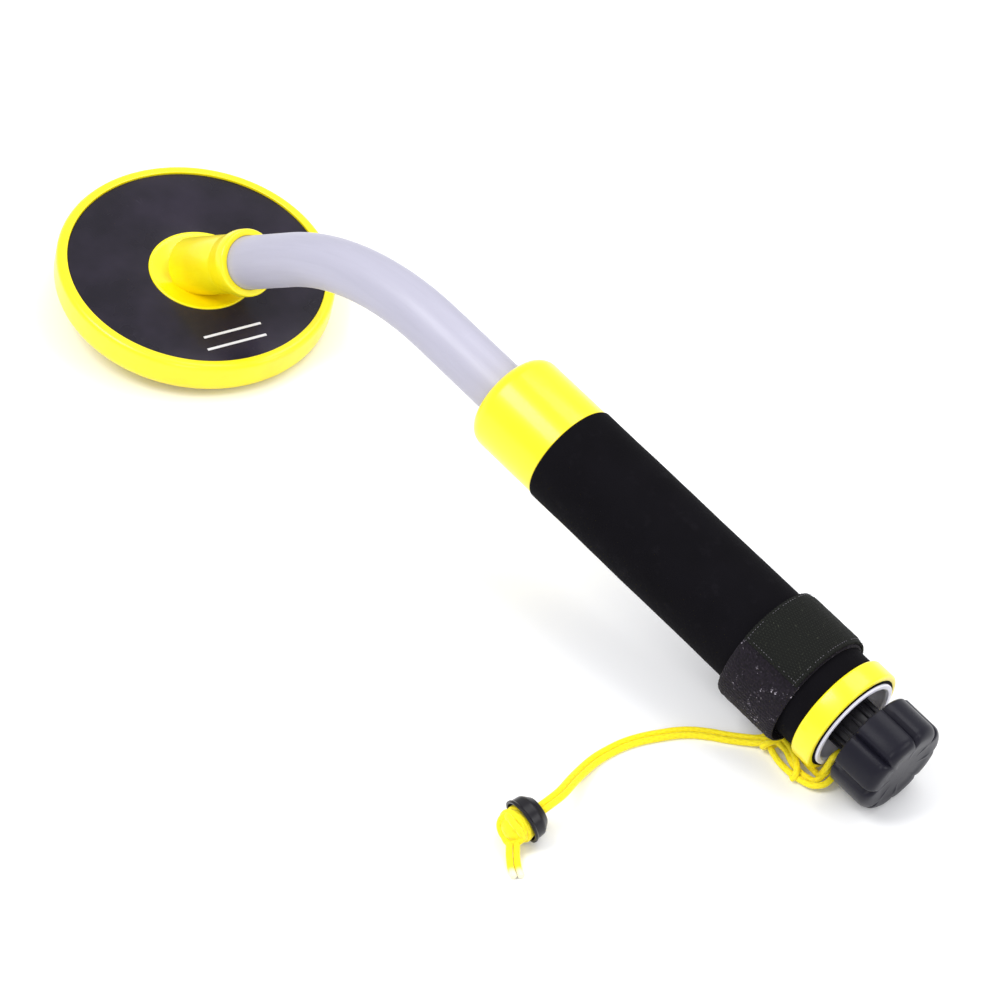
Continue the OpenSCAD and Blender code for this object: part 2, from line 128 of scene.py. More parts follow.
class Val:
    """A number socket; Python arithmetic on it adds Math nodes."""

    def __init__(self, maker, socket):
        self.maker, self.socket = maker, socket

    def calc(self, op, *others):
        return self.maker.math(op, self, *others)

    def __add__(self, o): return self.calc("ADD", o)
    def __sub__(self, o): return self.calc("SUBTRACT", o)
    def __mul__(self, o): return self.calc("MULTIPLY", o)
    def __radd__(self, o): return self.maker.math("ADD", o, self)
    def __rsub__(self, o): return self.maker.math("SUBTRACT", o, self)
    def __rmul__(self, o): return self.maker.math("MULTIPLY", o, self)
    def sin(self): return self.calc("SINE")
    def least(self, o): return self.calc("MINIMUM", o)
    def most(self, o): return self.calc("MAXIMUM", o)

    def ramp(self, low, high):
        """0 below low, 1 above high, smooth between."""
        return self.maker.node("ShaderNodeMapRange", dict(interpolation_type="SMOOTHSTEP"),
                               {0: self, 1: low, 2: high})


class Maker:
    """One material: a Principled shader and the nodes that feed it."""

    def __init__(self, name, **fixed):
        old = bpy.data.materials.get(name)
        if old:
            bpy.data.materials.remove(old)
        self.mat = bpy.data.materials.new(name)
        self.mat.use_nodes = True
        self.tree = self.mat.node_tree
        self.bsdf = self.tree.nodes["Principled BSDF"]
        for key, value in fixed.items():
            socket = key.replace("_", " ").title().replace("Ior", "IOR")
            self.bsdf.inputs[socket].default_value = value

    def node(self, kind, settings=None, inputs=None, out=0):
        n = self.tree.nodes.new(kind)
        for key, value in (settings or {}).items():
            setattr(n, key, value)
        for key, value in (inputs or {}).items():
            self.feed(n.inputs[key], value)
        return Val(self, n.outputs[out])

    def feed(self, socket, value):
        if isinstance(value, Val):
            self.tree.links.new(value.socket, socket)
        else:
            socket.default_value = value

    def math(self, op, *values):
        return self.node("ShaderNodeMath", dict(operation=op), dict(enumerate(values)))

    def coords(self, matrix=None, stretch=(1, 1, 1)):
        """Object coordinates, turned into a piece's own frame and stretched."""
        out = self.node("ShaderNodeTexCoord", out=3)
        if matrix is None and stretch == (1, 1, 1):
            return out
        turn = (matrix or WORLD).inverted()
        turned = self.node("ShaderNodeMapping", dict(vector_type="POINT"), {
            "Vector": out, "Location": turn.translation, "Rotation": turn.to_euler("XYZ")})
        return self.node("ShaderNodeVectorMath", dict(operation="MULTIPLY"),
                         {0: turned, 1: stretch})

    def uv(self):
        """The piece's own map: turns around it and lengths along it."""
        uv = self.node("ShaderNodeUVMap", dict(uv_map="UVMap"))
        parts = self.tree.nodes.new("ShaderNodeSeparateXYZ")
        self.feed(parts.inputs[0], uv)
        return Val(self, parts.outputs[0]), Val(self, parts.outputs[1])

    def noise(self, vector, scale, detail=3.0, rough=0.55):
        return self.node("ShaderNodeTexNoise", None, {
            "Vector": vector, "Scale": scale, "Detail": detail, "Roughness": rough})

    def cells(self, vector, scale, feature="F1"):
        return self.node("ShaderNodeTexVoronoi", dict(feature=feature),
                         {"Vector": vector, "Scale": scale})

    def blend(self, factor, a, b):
        n = self.tree.nodes.new("ShaderNodeMix")
        n.data_type = "RGBA"
        self.feed(n.inputs[0], factor)
        for socket, value in ((n.inputs[6], a), (n.inputs[7], b)):
            self.feed(socket, value if isinstance(value, Val) else (*value[:3], 1))
        return Val(self, n.outputs[2])

    def finish(self, color=None, rough=None, height=None, depth=1.0, step=0.0004):
        if color is not None:
            self.feed(self.bsdf.inputs["Base Color"], color)
        if rough is not None:
            self.feed(self.bsdf.inputs["Roughness"], rough)
        if height is not None:
            bump = self.node("ShaderNodeBump", None, {
                "Strength": depth, "Distance": step, "Height": height})
            self.feed(self.bsdf.inputs["Normal"], bump)
        return self.mat


def shade(color, k):
    return tuple(min(1.0, c * k) for c in color[:3])


def scratches(m, where, count, cut=0.64):
    """Fine scattered hairlines in two directions, 0 to 1."""
    far = m.noise(where, 45.0, 3.0).ramp(0.52, 0.7)
    a = m.noise(m.node("ShaderNodeVectorMath", dict(operation="MULTIPLY"),
                       {0: where, 1: (count, count * 0.12, count * 0.4)}), 1.0, 3.0)
    b = m.noise(m.node("ShaderNodeVectorMath", dict(operation="MULTIPLY"),
                       {0: where, 1: (count * 0.15, count * 0.8, count * 0.5)}), 1.0, 3.0)
    return (a.ramp(cut, cut + 0.05).most(b.ramp(cut, cut + 0.05))) * far


def moulded(name, color, rough, wear, gloss=0.0, matrix=None, deep=None, grain=0.15, shine=0.5):
    """Moulded plastic: a slightly uneven skin, handling scuffs and fine hairlines."""
    m = Maker(name, coat_weight=gloss, coat_roughness=0.12, specular_ior_level=shine)
    where = m.coords(matrix)
    cloud = m.noise(where, 34.0, 3.0)
    fine = m.noise(where, 1900.0, 2.0)
    lines = scratches(m, where, 620.0) * wear
    rub = m.noise(where, 95.0, 4.0).ramp(0.56, 0.72) * (0.5 * wear)
    body = m.blend(cloud.ramp(0.35, 0.7), deep or shade(color, 0.93), color)
    body = m.blend((lines * 0.35 + rub * 0.18).least(1.0), body, shade(color, 1.25))
    level = rough + fine * 0.05 + rub * 0.2 + lines * 0.25
    height = fine * grain + cloud * 0.6 - lines * 0.5
    return m.finish(body, level, height, 0.25, 0.00012)


def face_plate_skin(color, rough, wear):
    """Smooth dark plate with a faint violet sheen, dust and hairlines."""
    m = Maker("plate_black", coat_weight=0.07, coat_roughness=0.06, specular_ior_level=0.2)
    where = m.coords(COIL)
    cloud = m.noise(where, 26.0, 3.0)
    lines = scratches(m, where, 1100.0) * wear
    dust = m.cells(where, 900.0).calc("LESS_THAN", 0.1) * m.noise(where, 60.0).ramp(0.55, 0.7)
    body = m.blend(cloud.ramp(0.3, 0.75), color, (0.022, 0.017, 0.030))
    body = m.blend((lines * 0.3 + dust * 0.3 * wear).least(1.0), body, (0.10, 0.09, 0.12))
    fine = m.noise(where, 2400.0, 2.0)
    level = rough + cloud * 0.08 + lines * 0.2 + dust * 0.15
    return m.finish(body, level, fine * 0.2 + lines * 0.4, 0.2, 0.0001)


def tube_skin(color, wear):
    """Extruded grey plastic: faint lengthwise lines, and scuffs."""
    m = Maker("tube_grey", coat_weight=0.05, coat_roughness=0.25, specular_ior_level=0.4)
    around, along = m.uv()
    where = m.coords()
    ring = m.node("ShaderNodeCombineXYZ", None, {0: around * 60.0, 1: along * 4.0, 2: 0.0})
    line = m.noise(ring, 1.0, 3.0)
    wide = m.noise(m.node("ShaderNodeCombineXYZ", None, {0: around * 11.0, 1: along * 1.5, 2: 3.0}),
                   1.0, 2.0)
    scuff = scratches(m, where, 500.0) * wear
    body = m.blend(wide.ramp(0.3, 0.7), shade(color, 0.95), color)
    body = m.blend(line.ramp(0.45, 0.75) * 0.25, body, shade(color, 0.88))
    body = m.blend((scuff * 0.4).least(1.0), body, shade(color, 1.2))
    fine = m.noise(where, 1500.0, 2.0)
    return m.finish(body, 0.33 + line * 0.12 + scuff * 0.2,
                    line * 0.5 + fine * 0.15 - scuff * 0.4, 0.3, 0.00012)


def grip_skin(color, wear):
    """Soft black sleeve: close pebbled grain with a little lint."""
    m = Maker("grip_rubber", specular_ior_level=0.05)
    where = m.coords(HANDLE)
    pebble = m.cells(where, 1250.0, "SMOOTH_F1")
    cloud = m.noise(where, 40.0, 3.0)
    rub = m.noise(where, 130.0, 4.0).ramp(0.55, 0.75) * wear
    lint = m.cells(where, 900.0).calc("LESS_THAN", 0.05) * m.noise(where, 45.0).ramp(0.5, 0.62)
    body = m.blend(cloud.ramp(0.3, 0.7), shade(color, 0.75), color)
    body = m.blend((rub * 0.12 + lint * 0.3 * wear).least(1.0), body, (0.03, 0.026, 0.034))
    level = 0.78 - rub * 0.12 + cloud * 0.08
    return m.finish(body, level, pebble * 0.9 + cloud * 0.3, 0.5, 0.00025)


def webbing_skin(color):
    """Loop webbing: rows of weave under a pile of small loops that catch the light."""
    m = Maker("webbing_black", specular_ior_level=0.18, sheen_weight=0.03)
    _, along = m.uv()
    where = m.coords(HANDLE)
    loops = m.cells(where, 1050.0, "SMOOTH_F1")
    tuft = m.noise(where, 700.0, 4.0, 0.7)
    rows = ((along * (math.tau / 0.0017)).sin() * 0.5 + 0.5)
    patchy = m.noise(where, 120.0, 3.0).ramp(0.45, 0.68)
    glint = (tuft.ramp(0.56, 0.66) * (1.0 - loops.ramp(0.3, 0.6))) * patchy
    # Painted light and shade: the tops of the loops lighter, the gaps between them darker
    body = m.blend(loops.ramp(0.15, 0.75), shade(color, 1.3), shade(color, 0.4))
    body = m.blend(rows * 0.35, body, shade(color, 0.6))
    body = m.blend((glint * 1.2).least(1.0), body, (0.42, 0.38, 0.44))
    height = (1.0 - loops) * 0.8 + tuft * 0.8 + rows * 0.3
    return m.finish(body, 0.78 - glint * 0.2, height, 0.9, 0.0005)


def hook_skin(color):
    """Hook tape: close rows of tiny stiff hooks on a woven ground."""
    m = Maker("hook_patch", specular_ior_level=0.14)
    around, along = m.uv()
    where = m.coords(HANDLE)
    u = (around * (math.tau * 26.25 / 1.15)).sin()
    v = (along * (math.tau / 0.0013)).sin()
    hooks = (u * v).ramp(0.1, 0.8)
    fuzz = m.noise(where, 900.0, 3.0, 0.65)
    cloud = m.noise(where, 60.0, 3.0)
    # Painted light and shade: the raised hooks lighter, the ground between them darker
    body = m.blend(hooks, shade(color, 0.5), shade(color, 1.4))
    body = m.blend(fuzz.ramp(0.62, 0.75) * 0.5, body, (0.12, 0.13, 0.09))
    body = m.blend(cloud.ramp(0.4, 0.8) * 0.4, body, shade(color, 0.7))
    return m.finish(body, 0.7 + fuzz * 0.15, hooks * 0.7 + fuzz * 0.5, 0.8, 0.0004)


def thread_skin(color):
    """Twisted sewing thread."""
    m = Maker("stitch_thread", ior=1.45, sheen_weight=0.2)
    where = m.coords(HANDLE)
    ply = m.noise(where, 2600.0, 2.0)
    return m.finish(m.blend(ply, shade(color, 0.6), color), 0.6 + ply * 0.2, ply, 0.6, 0.0002)


def braid_skin(name, color, pitch, ends=None):
    """Braided cord: yarns crossing both ways around it; the yarns' fibres show."""
    m = Maker(name, ior=1.45, sheen_weight=0.25, sheen_roughness=0.35)
    around, along = m.uv()
    turn = along * (math.tau / pitch)
    spin = around * (math.tau * 5)
    left, right = (spin + turn).sin(), (spin - turn).sin()
    over = (left * right).ramp(-0.25, 0.25)
    yarn = left.most(right)
    crown = (left * 0.5 + 0.5) * over + (right * 0.5 + 0.5) * (1.0 - over)
    where = m.coords()
    fibre = m.noise(m.node("ShaderNodeCombineXYZ", None,
                           {0: around * 46.0, 1: along * 900.0, 2: crown * 2.0}), 1.0, 3.0)
    fuzz = m.noise(where, 1400.0, 3.0, 0.7)
    # Painted shade: a darker amber in the hollows between the yarns
    body = m.blend(yarn.ramp(-0.8, 0.3), (0.86, 0.68, 0.0), color)
    body = m.blend(fibre.ramp(0.5, 0.8) * 0.2, body, shade(color, 0.86))
    body = m.blend(fuzz.ramp(0.6, 0.75) * 0.25, body, (1.0, 0.97, 0.45))
    if ends:
        melt = along.ramp(ends - 0.004, ends)
        body = m.blend(melt, body, (0.86, 0.82, 0.6))
    return m.finish(body, 0.62 + fuzz * 0.15, crown * 0.8 + fibre * 0.25 + fuzz * 0.2, 0.6, 0.0003)


def metal_skin(name, color, rough, matrix=None, stretch=(1, 1, 60)):
    """Plated metal with turned or drawn lines."""
    m = Maker(name, metallic=1.0)
    where = m.coords(matrix)
    line = m.noise(m.coords(matrix, stretch), 30.0, 3.0)
    cloud = m.noise(where, 90.0, 3.0)
    body = m.blend(cloud.ramp(0.35, 0.75), shade(color, 0.8), color)
    return m.finish(body, rough + line * 0.15, line, 0.2, 0.0001)


def foam_skin():
    m = Maker("foam_grey", ior=1.4)
    cell = m.cells(m.coords(), 900.0)
    body = m.blend(cell.ramp(0.1, 0.6), (0.04, 0.04, 0.045), (0.14, 0.14, 0.15))
    return m.finish(body, 0.9 + cell * 0.05, cell, 0.9, 0.0005)


def board_skin():
    """Green board with lighter tracks and tinned pads."""
    m = Maker("board_green", coat_weight=0.2, ior=1.5)
    where = m.coords(HANDLE)
    track = m.cells(where, 320.0, "DISTANCE_TO_EDGE")
    pads = m.cells(where, 420.0).calc("LESS_THAN", 0.14)
    body = m.blend(1.0 - track.ramp(0.02, 0.1), (0.008, 0.075, 0.03), (0.02, 0.19, 0.07))
    body = m.blend(pads, body, (0.6, 0.58, 0.52))
    return m.finish(body, 0.35 + pads * 0.1, 1.0 - track.ramp(0.02, 0.1), 0.3, 0.0002)


def floor_skin(color):
    m = Maker("studio_floor", specular_ior_level=0.2)
    paper = m.noise(m.coords(), 300.0, 3.0)
    tone = m.noise(m.coords(), 3.0, 2.0)
    body = m.blend(tone, shade(color, 0.985), color)
    return m.finish(body, 0.75 + paper * 0.05, paper, 0.05, 0.0002)


def paint_finishes(look):
    """Every finish, by the record's slot name."""
    y, w = tuple(look.yellow), look.wear
    return {
        "yellow_shell": moulded("yellow_shell", y, 0.3, 0.5 * w, 0.25, None, look.yellow_shade[:]),
        "plate_black": face_plate_skin(look.plate[:], 0.24, w),
        "plate_print": moulded("plate_print", (0.75, 0.74, 0.76), 0.5, 0.3 * w),
        "copper_wire": metal_skin("copper_wire", (0.72, 0.33, 0.14), 0.3),
        "resin": moulded("resin", (0.06, 0.045, 0.035), 0.35, 0.2, 0.3),
        "seal_rubber": moulded("seal_rubber", (0.012, 0.012, 0.013), 0.6, 0.3 * w, 0.0, HANDLE),
        "tube_grey": tube_skin(look.tube[:], w),
        "lead_jacket": moulded("lead_jacket", (0.03, 0.03, 0.035), 0.55, 0.2),
        "nylon_white": moulded("nylon_white", (0.75, 0.74, 0.7), 0.45, 0.2),
        "pipe_white": moulded("pipe_white", look.pipe[:], 0.34, 0.4 * w, 0.15, HANDLE),
        "grip_rubber": grip_skin(look.grip[:], w),
        "board_green": board_skin(),
        "can_blue": metal_skin("can_blue", (0.06, 0.1, 0.32), 0.3, HANDLE),
        "chip_black": moulded("chip_black", (0.02, 0.02, 0.02), 0.55, 0.2, 0.0, HANDLE, None, 0.6),
        "foam_grey": foam_skin(),
        "motor_steel": metal_skin("motor_steel", (0.62, 0.62, 0.62), 0.22, HANDLE),
        "weight_metal": metal_skin("weight_metal", (0.45, 0.4, 0.34), 0.4, HANDLE),
        "battery_case": metal_skin("battery_case", (0.09, 0.12, 0.19), 0.3, HANDLE),
        "snap_black": moulded("snap_black", (0.02, 0.02, 0.02), 0.5, 0.2),
        "wire_red": moulded("wire_red", (0.5, 0.02, 0.02), 0.4, 0.1),
        "wire_black": moulded("wire_black", (0.015, 0.015, 0.015), 0.4, 0.1),
        "plug_plastic": moulded("plug_plastic", look.plug[:], 0.26, w, 0.0, None, None, 0.5, 0.22),
        "zinc_steel": metal_skin("zinc_steel", (0.62, 0.62, 0.58), 0.25, HANDLE),
        "knob_plastic": moulded("knob_plastic", look.knob[:], 0.3, w, 0.0, HANDLE, None, 1.0, 0.17),
        "webbing_black": webbing_skin(look.strap[:]),
        "hook_patch": hook_skin(look.patch[:]),
        "stitch_thread": thread_skin(look.thread[:]),
        "cord_yellow": braid_skin("cord_yellow", look.cord[:], look.braid),
        "cord_tail": braid_skin("cord_tail", look.cord[:], look.braid, ends=0.0165),
    }


# --- Shapes ------------------------------------------------------------------

def put(name, bm, matrix, body, finish, sharp=35.0):
    """Places a finished bmesh as an object that rides on a body."""
    bm.transform(matrix)
    mesh = bpy.data.meshes.new(name)
    bm.to_mesh(mesh)
    bm.free()
    for face in mesh.polygons:
        face.use_smooth = True
    mesh.set_sharp_from_angle(angle=math.radians(sharp))
    obj = bpy.data.objects.new(name, mesh)
    bpy.context.scene.collection.objects.link(obj)
    mesh.materials.append(bpy.data.materials[finish])
    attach(obj, body)
    return obj


def rounded(corners, steps=6, closed=True):
    """Corner points (r, z[, radius]) with each given radius worked in."""
    out = []
    n = len(corners)
    for i, (r, z, *radius) in enumerate(corners):
        here = Vector((r, z))
        if not radius or (not closed and i in (0, n - 1)):
            out.append(here)
            continue
        a = (Vector(corners[i - 1][:2]) - here).normalized()
        b = (Vector(corners[(i + 1) % n][:2]) - here).normalized()
        half = a.angle(b) / 2
        cut = radius[0] / math.tan(half)
        centre = here + (a + b).normalized() * (radius[0] / math.sin(half))
        first, last = here + a * cut - centre, here + b * cut - centre
        for k in range(steps + 1):
            out.append(centre + first.slerp(last, k / steps).normalized() * radius[0])
    return out


def spun(corners, steps=96, closed=True, fillet=6):
    """A bmesh of corner points (r, z[, radius]) in millimetres turned about Z."""
    bm = bmesh.new()
    verts = [bm.verts.new((p.x * MM, 0, p.y * MM)) for p in rounded(corners, fillet, closed)]
    count = len(verts)
    edges = [bm.edges.new((verts[i], verts[(i + 1) % count]))
             for i in range(count if closed else count - 1)]
    bmesh.ops.spin(bm, geom=verts + edges, cent=(0, 0, 0), axis=(0, 0, 1),
                   angle=math.tau, steps=steps, use_merge=True)
    bmesh.ops.remove_doubles(bm, verts=bm.verts, dist=1e-6)
    bmesh.ops.recalc_face_normals(bm, faces=bm.faces)
    return bm


def lofted(rings, path_closed=False, lengths=None):
    """A bmesh drawn through rings of points, with a map of turns and lengths."""
    bm = bmesh.new()
    spot_i, spot_k = bm.verts.layers.float.new("i"), bm.verts.layers.float.new("k")
    sides = len(rings[0])
    row = [bm.verts.new(p) for p in rings[0]]
    edges = [bm.edges.new((row[k], row[(k + 1) % sides]))
             for k in range(sides)]
    first = list(edges)
    for k, v in enumerate(row):
        v[spot_k] = k
    many = rings[1:] + ([rings[0]] if path_closed else [])
    for i, ring in enumerate(many, 1):
        made = bmesh.ops.extrude_edge_only(bm, edges=edges)["geom"]
        fresh = {g for g in made if isinstance(g, bmesh.types.BMVert)}
        edges = [g for g in made if isinstance(g, bmesh.types.BMEdge)
                 and g.verts[0] in fresh and g.verts[1] in fresh]
        step = []
        for k, v in enumerate(row):
            new = next(e.other_vert(v) for e in v.link_edges if e.other_vert(v) in fresh)
            new.co = ring[k]
            new[spot_i], new[spot_k] = i, k
            step.append(new)
        row = step
    if lengths is None:
        lengths = [0.0]
        for a, b in zip(rings, many):
            ca, cb = (sum((Vector(p) for p in r), Vector()) / len(r) for r in (a, b))
            lengths.append(lengths[-1] + (cb - ca).length)
    uv = bm.loops.layers.uv.new("UVMap")
    for face in bm.faces:
        ks = [l.vert[spot_k] for l in face.loops]
        wrap = max(ks) - min(ks) > sides / 2
        for l in face.loops:
            k = l.vert[spot_k]
            if wrap and k < sides / 2:
                k += sides
            l[uv].uv = (k / sides, lengths[int(l.vert[spot_i])])
    if not path_closed:
        for loop in (first, edges):
            for f in bmesh.ops.contextual_create(bm, geom=loop)["faces"]:
                for l in f.loops:
                    l[uv].uv = (0.5, lengths[int(l.vert[spot_i])])
    bmesh.ops.remove_doubles(bm, verts=bm.verts, dist=1e-7)
    bmesh.ops.recalc_face_normals(bm, faces=bm.faces)
    return bm


def smooth_line(points, per=6, closed=False):
    """Millimetre points made a smooth metre line that passes through them."""
    pts = [Vector(p) * MM for p in points]
    n = len(pts)
    out = []
    for i in range(n if closed else n - 1):
        a, b, c, d = (pts[(i + o) % n] if closed else pts[min(max(i + o, 0), n - 1)]
                      for o in (-1, 0, 1, 2))
        for k in range(per):
            t = k / per
            out.append(0.5 * (2 * b + (c - a) * t + (2 * a - 5 * b + 4 * c - d) * t * t
                              + (3 * b - a - 3 * c + d) * t ** 3))
    if not closed:
        out.append(pts[-1])
    return out


def bundles(line, closed=False):
    """Side and up directions along a line, carried without twist."""
    n = len(line)
    heads = [(line[(i + 1) % n if closed else min(i + 1, n - 1)]
              - line[i - 1 if closed else max(i - 1, 0)]).normalized() for i in range(n)]
    up = Vector((0, 0, 1))
    up = (up - heads[0] * up.dot(heads[0])).normalized()
    out = []
    for h in heads:
        up = (up - h * up.dot(h)).normalized()
        out.append((up.cross(h), up))
    return out


def tube_rings(line, wide, high, sides, shift=0.0, closed=False):
    """Oval rings around a line; shift moves them sideways, all in metres."""
    rings = []
    for p, (s, u) in zip(line, bundles(line, closed)):
        rings.append([p + s * (shift + wide / 2 * math.cos(math.tau * k / sides))
                      + u * (high / 2 * math.sin(math.tau * k / sides)) for k in range(sides)])
    return rings


def join(bm, other):
    """Adds another bmesh to this one."""
    mesh = bpy.data.meshes.new("part")
    other.to_mesh(mesh)
    other.free()
    bm.from_mesh(mesh)
    bpy.data.meshes.remove(mesh)


# --- Sizes and colours -------------------------------------------------------

def tint(name, what, value):
    return bpy.props.FloatVectorProperty(name=name, description=what, default=value, size=3,
                                         min=0.0, max=1.0, subtype="COLOR")


class ProbeLook(bpy.types.PropertyGroup):
    yellow: tint("Yellow", "Coil housing, collar and ring", (0.98, 0.84, 0.003))
    yellow_shade: tint("Yellow shade", "Deeper patches of the yellow", (0.93, 0.75, 0.0))
    plate: tint("Plate", "Dark face plate", (0.010, 0.008, 0.014))
    tube: tint("Tube", "Bent tube", (0.43, 0.42, 0.51))
    pipe: tint("Pipe", "Handle pipe where it shows", (0.90, 0.88, 0.98))
    grip: tint("Grip", "Sleeve on the handle", (0.0045, 0.004, 0.0055))
    plug: tint("Plug", "Plug, its neck and the cord cup", (0.012, 0.011, 0.014))
    knob: tint("Knob", "Clamp knob", (0.009, 0.0085, 0.015))
    strap: tint("Strap", "Strap webbing", (0.009, 0.006, 0.011))
    patch: tint("Hook patch", "Patch that closes the strap", (0.010, 0.011, 0.009))
    thread: tint("Thread", "Stitches on the strap", (0.11, 0.10, 0.12))
    cord: tint("Cord", "Lanyard cord", (0.95, 0.80, 0.004))
    wear: bpy.props.FloatProperty(name="Wear", description="How scuffed the surfaces are",
                                  default=0.5, min=0.0, max=2.0, subtype="FACTOR")
    braid: bpy.props.FloatProperty(name="Braid pitch", description="Length of one braid repeat",
                                   default=0.0052, min=0.003, max=0.02, unit="LENGTH")


class ProbeSizes(bpy.types.PropertyGroup):
    coil_r: bpy.props.FloatProperty(name="Coil radius", description="Radius of the housing",
                                    default=71.5 * MM, unit="LENGTH")
    plate_r: bpy.props.FloatProperty(name="Plate radius", description="Radius of the face plate",
                                     default=66.0 * MM, unit="LENGTH")
    dish_r: bpy.props.FloatProperty(name="Dish radius", description="Radius of the dish's mouth",
                                    default=27.0 * MM, unit="LENGTH")
    knob_r: bpy.props.FloatProperty(name="Knob radius", description="Radius over the lobes",
                                    default=25.0 * MM, unit="LENGTH")
    lobes: bpy.props.IntProperty(name="Lobes", description="Lobes around the knob", default=8)
    strap_t: bpy.props.FloatProperty(name="Webbing", description="Thickness of the webbing",
                                     default=1.6 * MM, unit="LENGTH")
    slack: bpy.props.FloatProperty(name="Slack", description="How far the strap stands off",
                                   default=3.6 * MM, unit="LENGTH")
    pile: bpy.props.FloatProperty(name="Pile", description="Height of the webbing's loops",
                                  default=0.35 * MM, unit="LENGTH")
    strand: bpy.props.FloatProperty(name="Strand", description="Diameter of one cord strand",
                                    default=3.2 * MM, unit="LENGTH")


class ProbeStep(bpy.types.Operator):
    """Common part of the operators that build the probe."""

    def execute(self, context):
        self.build(context.scene.probe_sizes, context.scene.probe_look)
        return {"FINISHED"}


# --- Stage and lanyard -------------------------------------------------------

class PROBE_OT_stage(ProbeStep):
    """Adds the floor, the lights and the camera."""
    bl_idname = "probe.stage"
    bl_label = "Stage"

    def build(self, sizes, look):
        scene = bpy.context.scene
        camera = bpy.data.objects.new("camera", bpy.data.cameras.new("camera"))
        right, down = Vector((0.7055, 0.7062, 0.0595)), Vector((0.4943, -0.4303, -0.7553))
        back = right.cross(-down).normalized()
        right = (-down).cross(back).normalized()
        camera.matrix_world = axes(right, back.cross(right), back, (1.1213, -1.2262, 1.4396))
        camera.data.lens = 161.84
        camera.data.sensor_width = 36.0
        camera.data.clip_end = 50.0
        scene.collection.objects.link(camera)
        scene.camera = camera

        floor_skin((0.93, 0.93, 0.935))
        bm = bmesh.new()
        bmesh.ops.create_grid(bm, x_segments=8, y_segments=8, size=4.0)
        mesh = bpy.data.meshes.new("floor")
        bm.to_mesh(mesh)
        bm.free()
        mesh.materials.append(bpy.data.materials["studio_floor"])
        floor = bpy.data.objects.new("floor", mesh)
        scene.collection.objects.link(floor)

        world = bpy.data.worlds.new("studio")
        world.use_nodes = True
        sky = world.node_tree.nodes["Background"]
        sky.inputs[0].default_value = (0.96, 0.97, 1.0, 1)
        sky.inputs[1].default_value = 0.78
        scene.world = world
        scene.view_settings.view_transform = "Standard"
        for name, at, size, power, aim in (
                ("key", (-0.5, -1.1, 1.9), 1.0, 24.0, (0.0, 0.0, 0.05)),
                ("top", (0.3, 0.9, 2.0), 1.4, 17.0, (0.05, 0.0, 0.05)),
                ("side", (1.6, 0.5, 0.9), 0.8, 7.0, (0.1, 0.0, 0.05)),
                ("front", (1.25, -1.15, 1.25), 0.5, 5.0, (0.25, 0.0, 0.04))):
            lamp = bpy.data.lights.new(name, "AREA")
            lamp.size, lamp.energy = size, power
            obj = bpy.data.objects.new(name, lamp)
            obj.matrix_world = Matrix.Translation(at) @ (
                Vector(at) - Vector(aim)).to_track_quat("Z", "Y").to_matrix().to_4x4()
            scene.collection.objects.link(obj)


class PROBE_OT_finishes(ProbeStep):
    """Makes the finishes and gives them to the carried-over nodes."""
    bl_idname = "probe.finishes"
    bl_label = "Finishes"

    def build(self, sizes, look):
        skins = paint_finishes(look)
        slots = {s["node"]: s["material_slot"] for s in RECORD["subparts"]}
        for node, obj in frame["nodes"].items():
            if not obj.material_slots:
                obj.data.materials.append(None)
            for slot in obj.material_slots:
                slot.material = skins[slots[node]]


def strand_pair(line, strand, squeeze=1.06):
    """Two strands side by side, pressed a little flat where they touch."""
    bm = None
    for side in (-1, 1):
        rings = tube_rings(line, strand * 0.98, strand * squeeze, 16, side * strand * 0.48)
        part = lofted(rings)
        if bm is None:
            bm = part
        else:
            join(bm, part)
    return bm


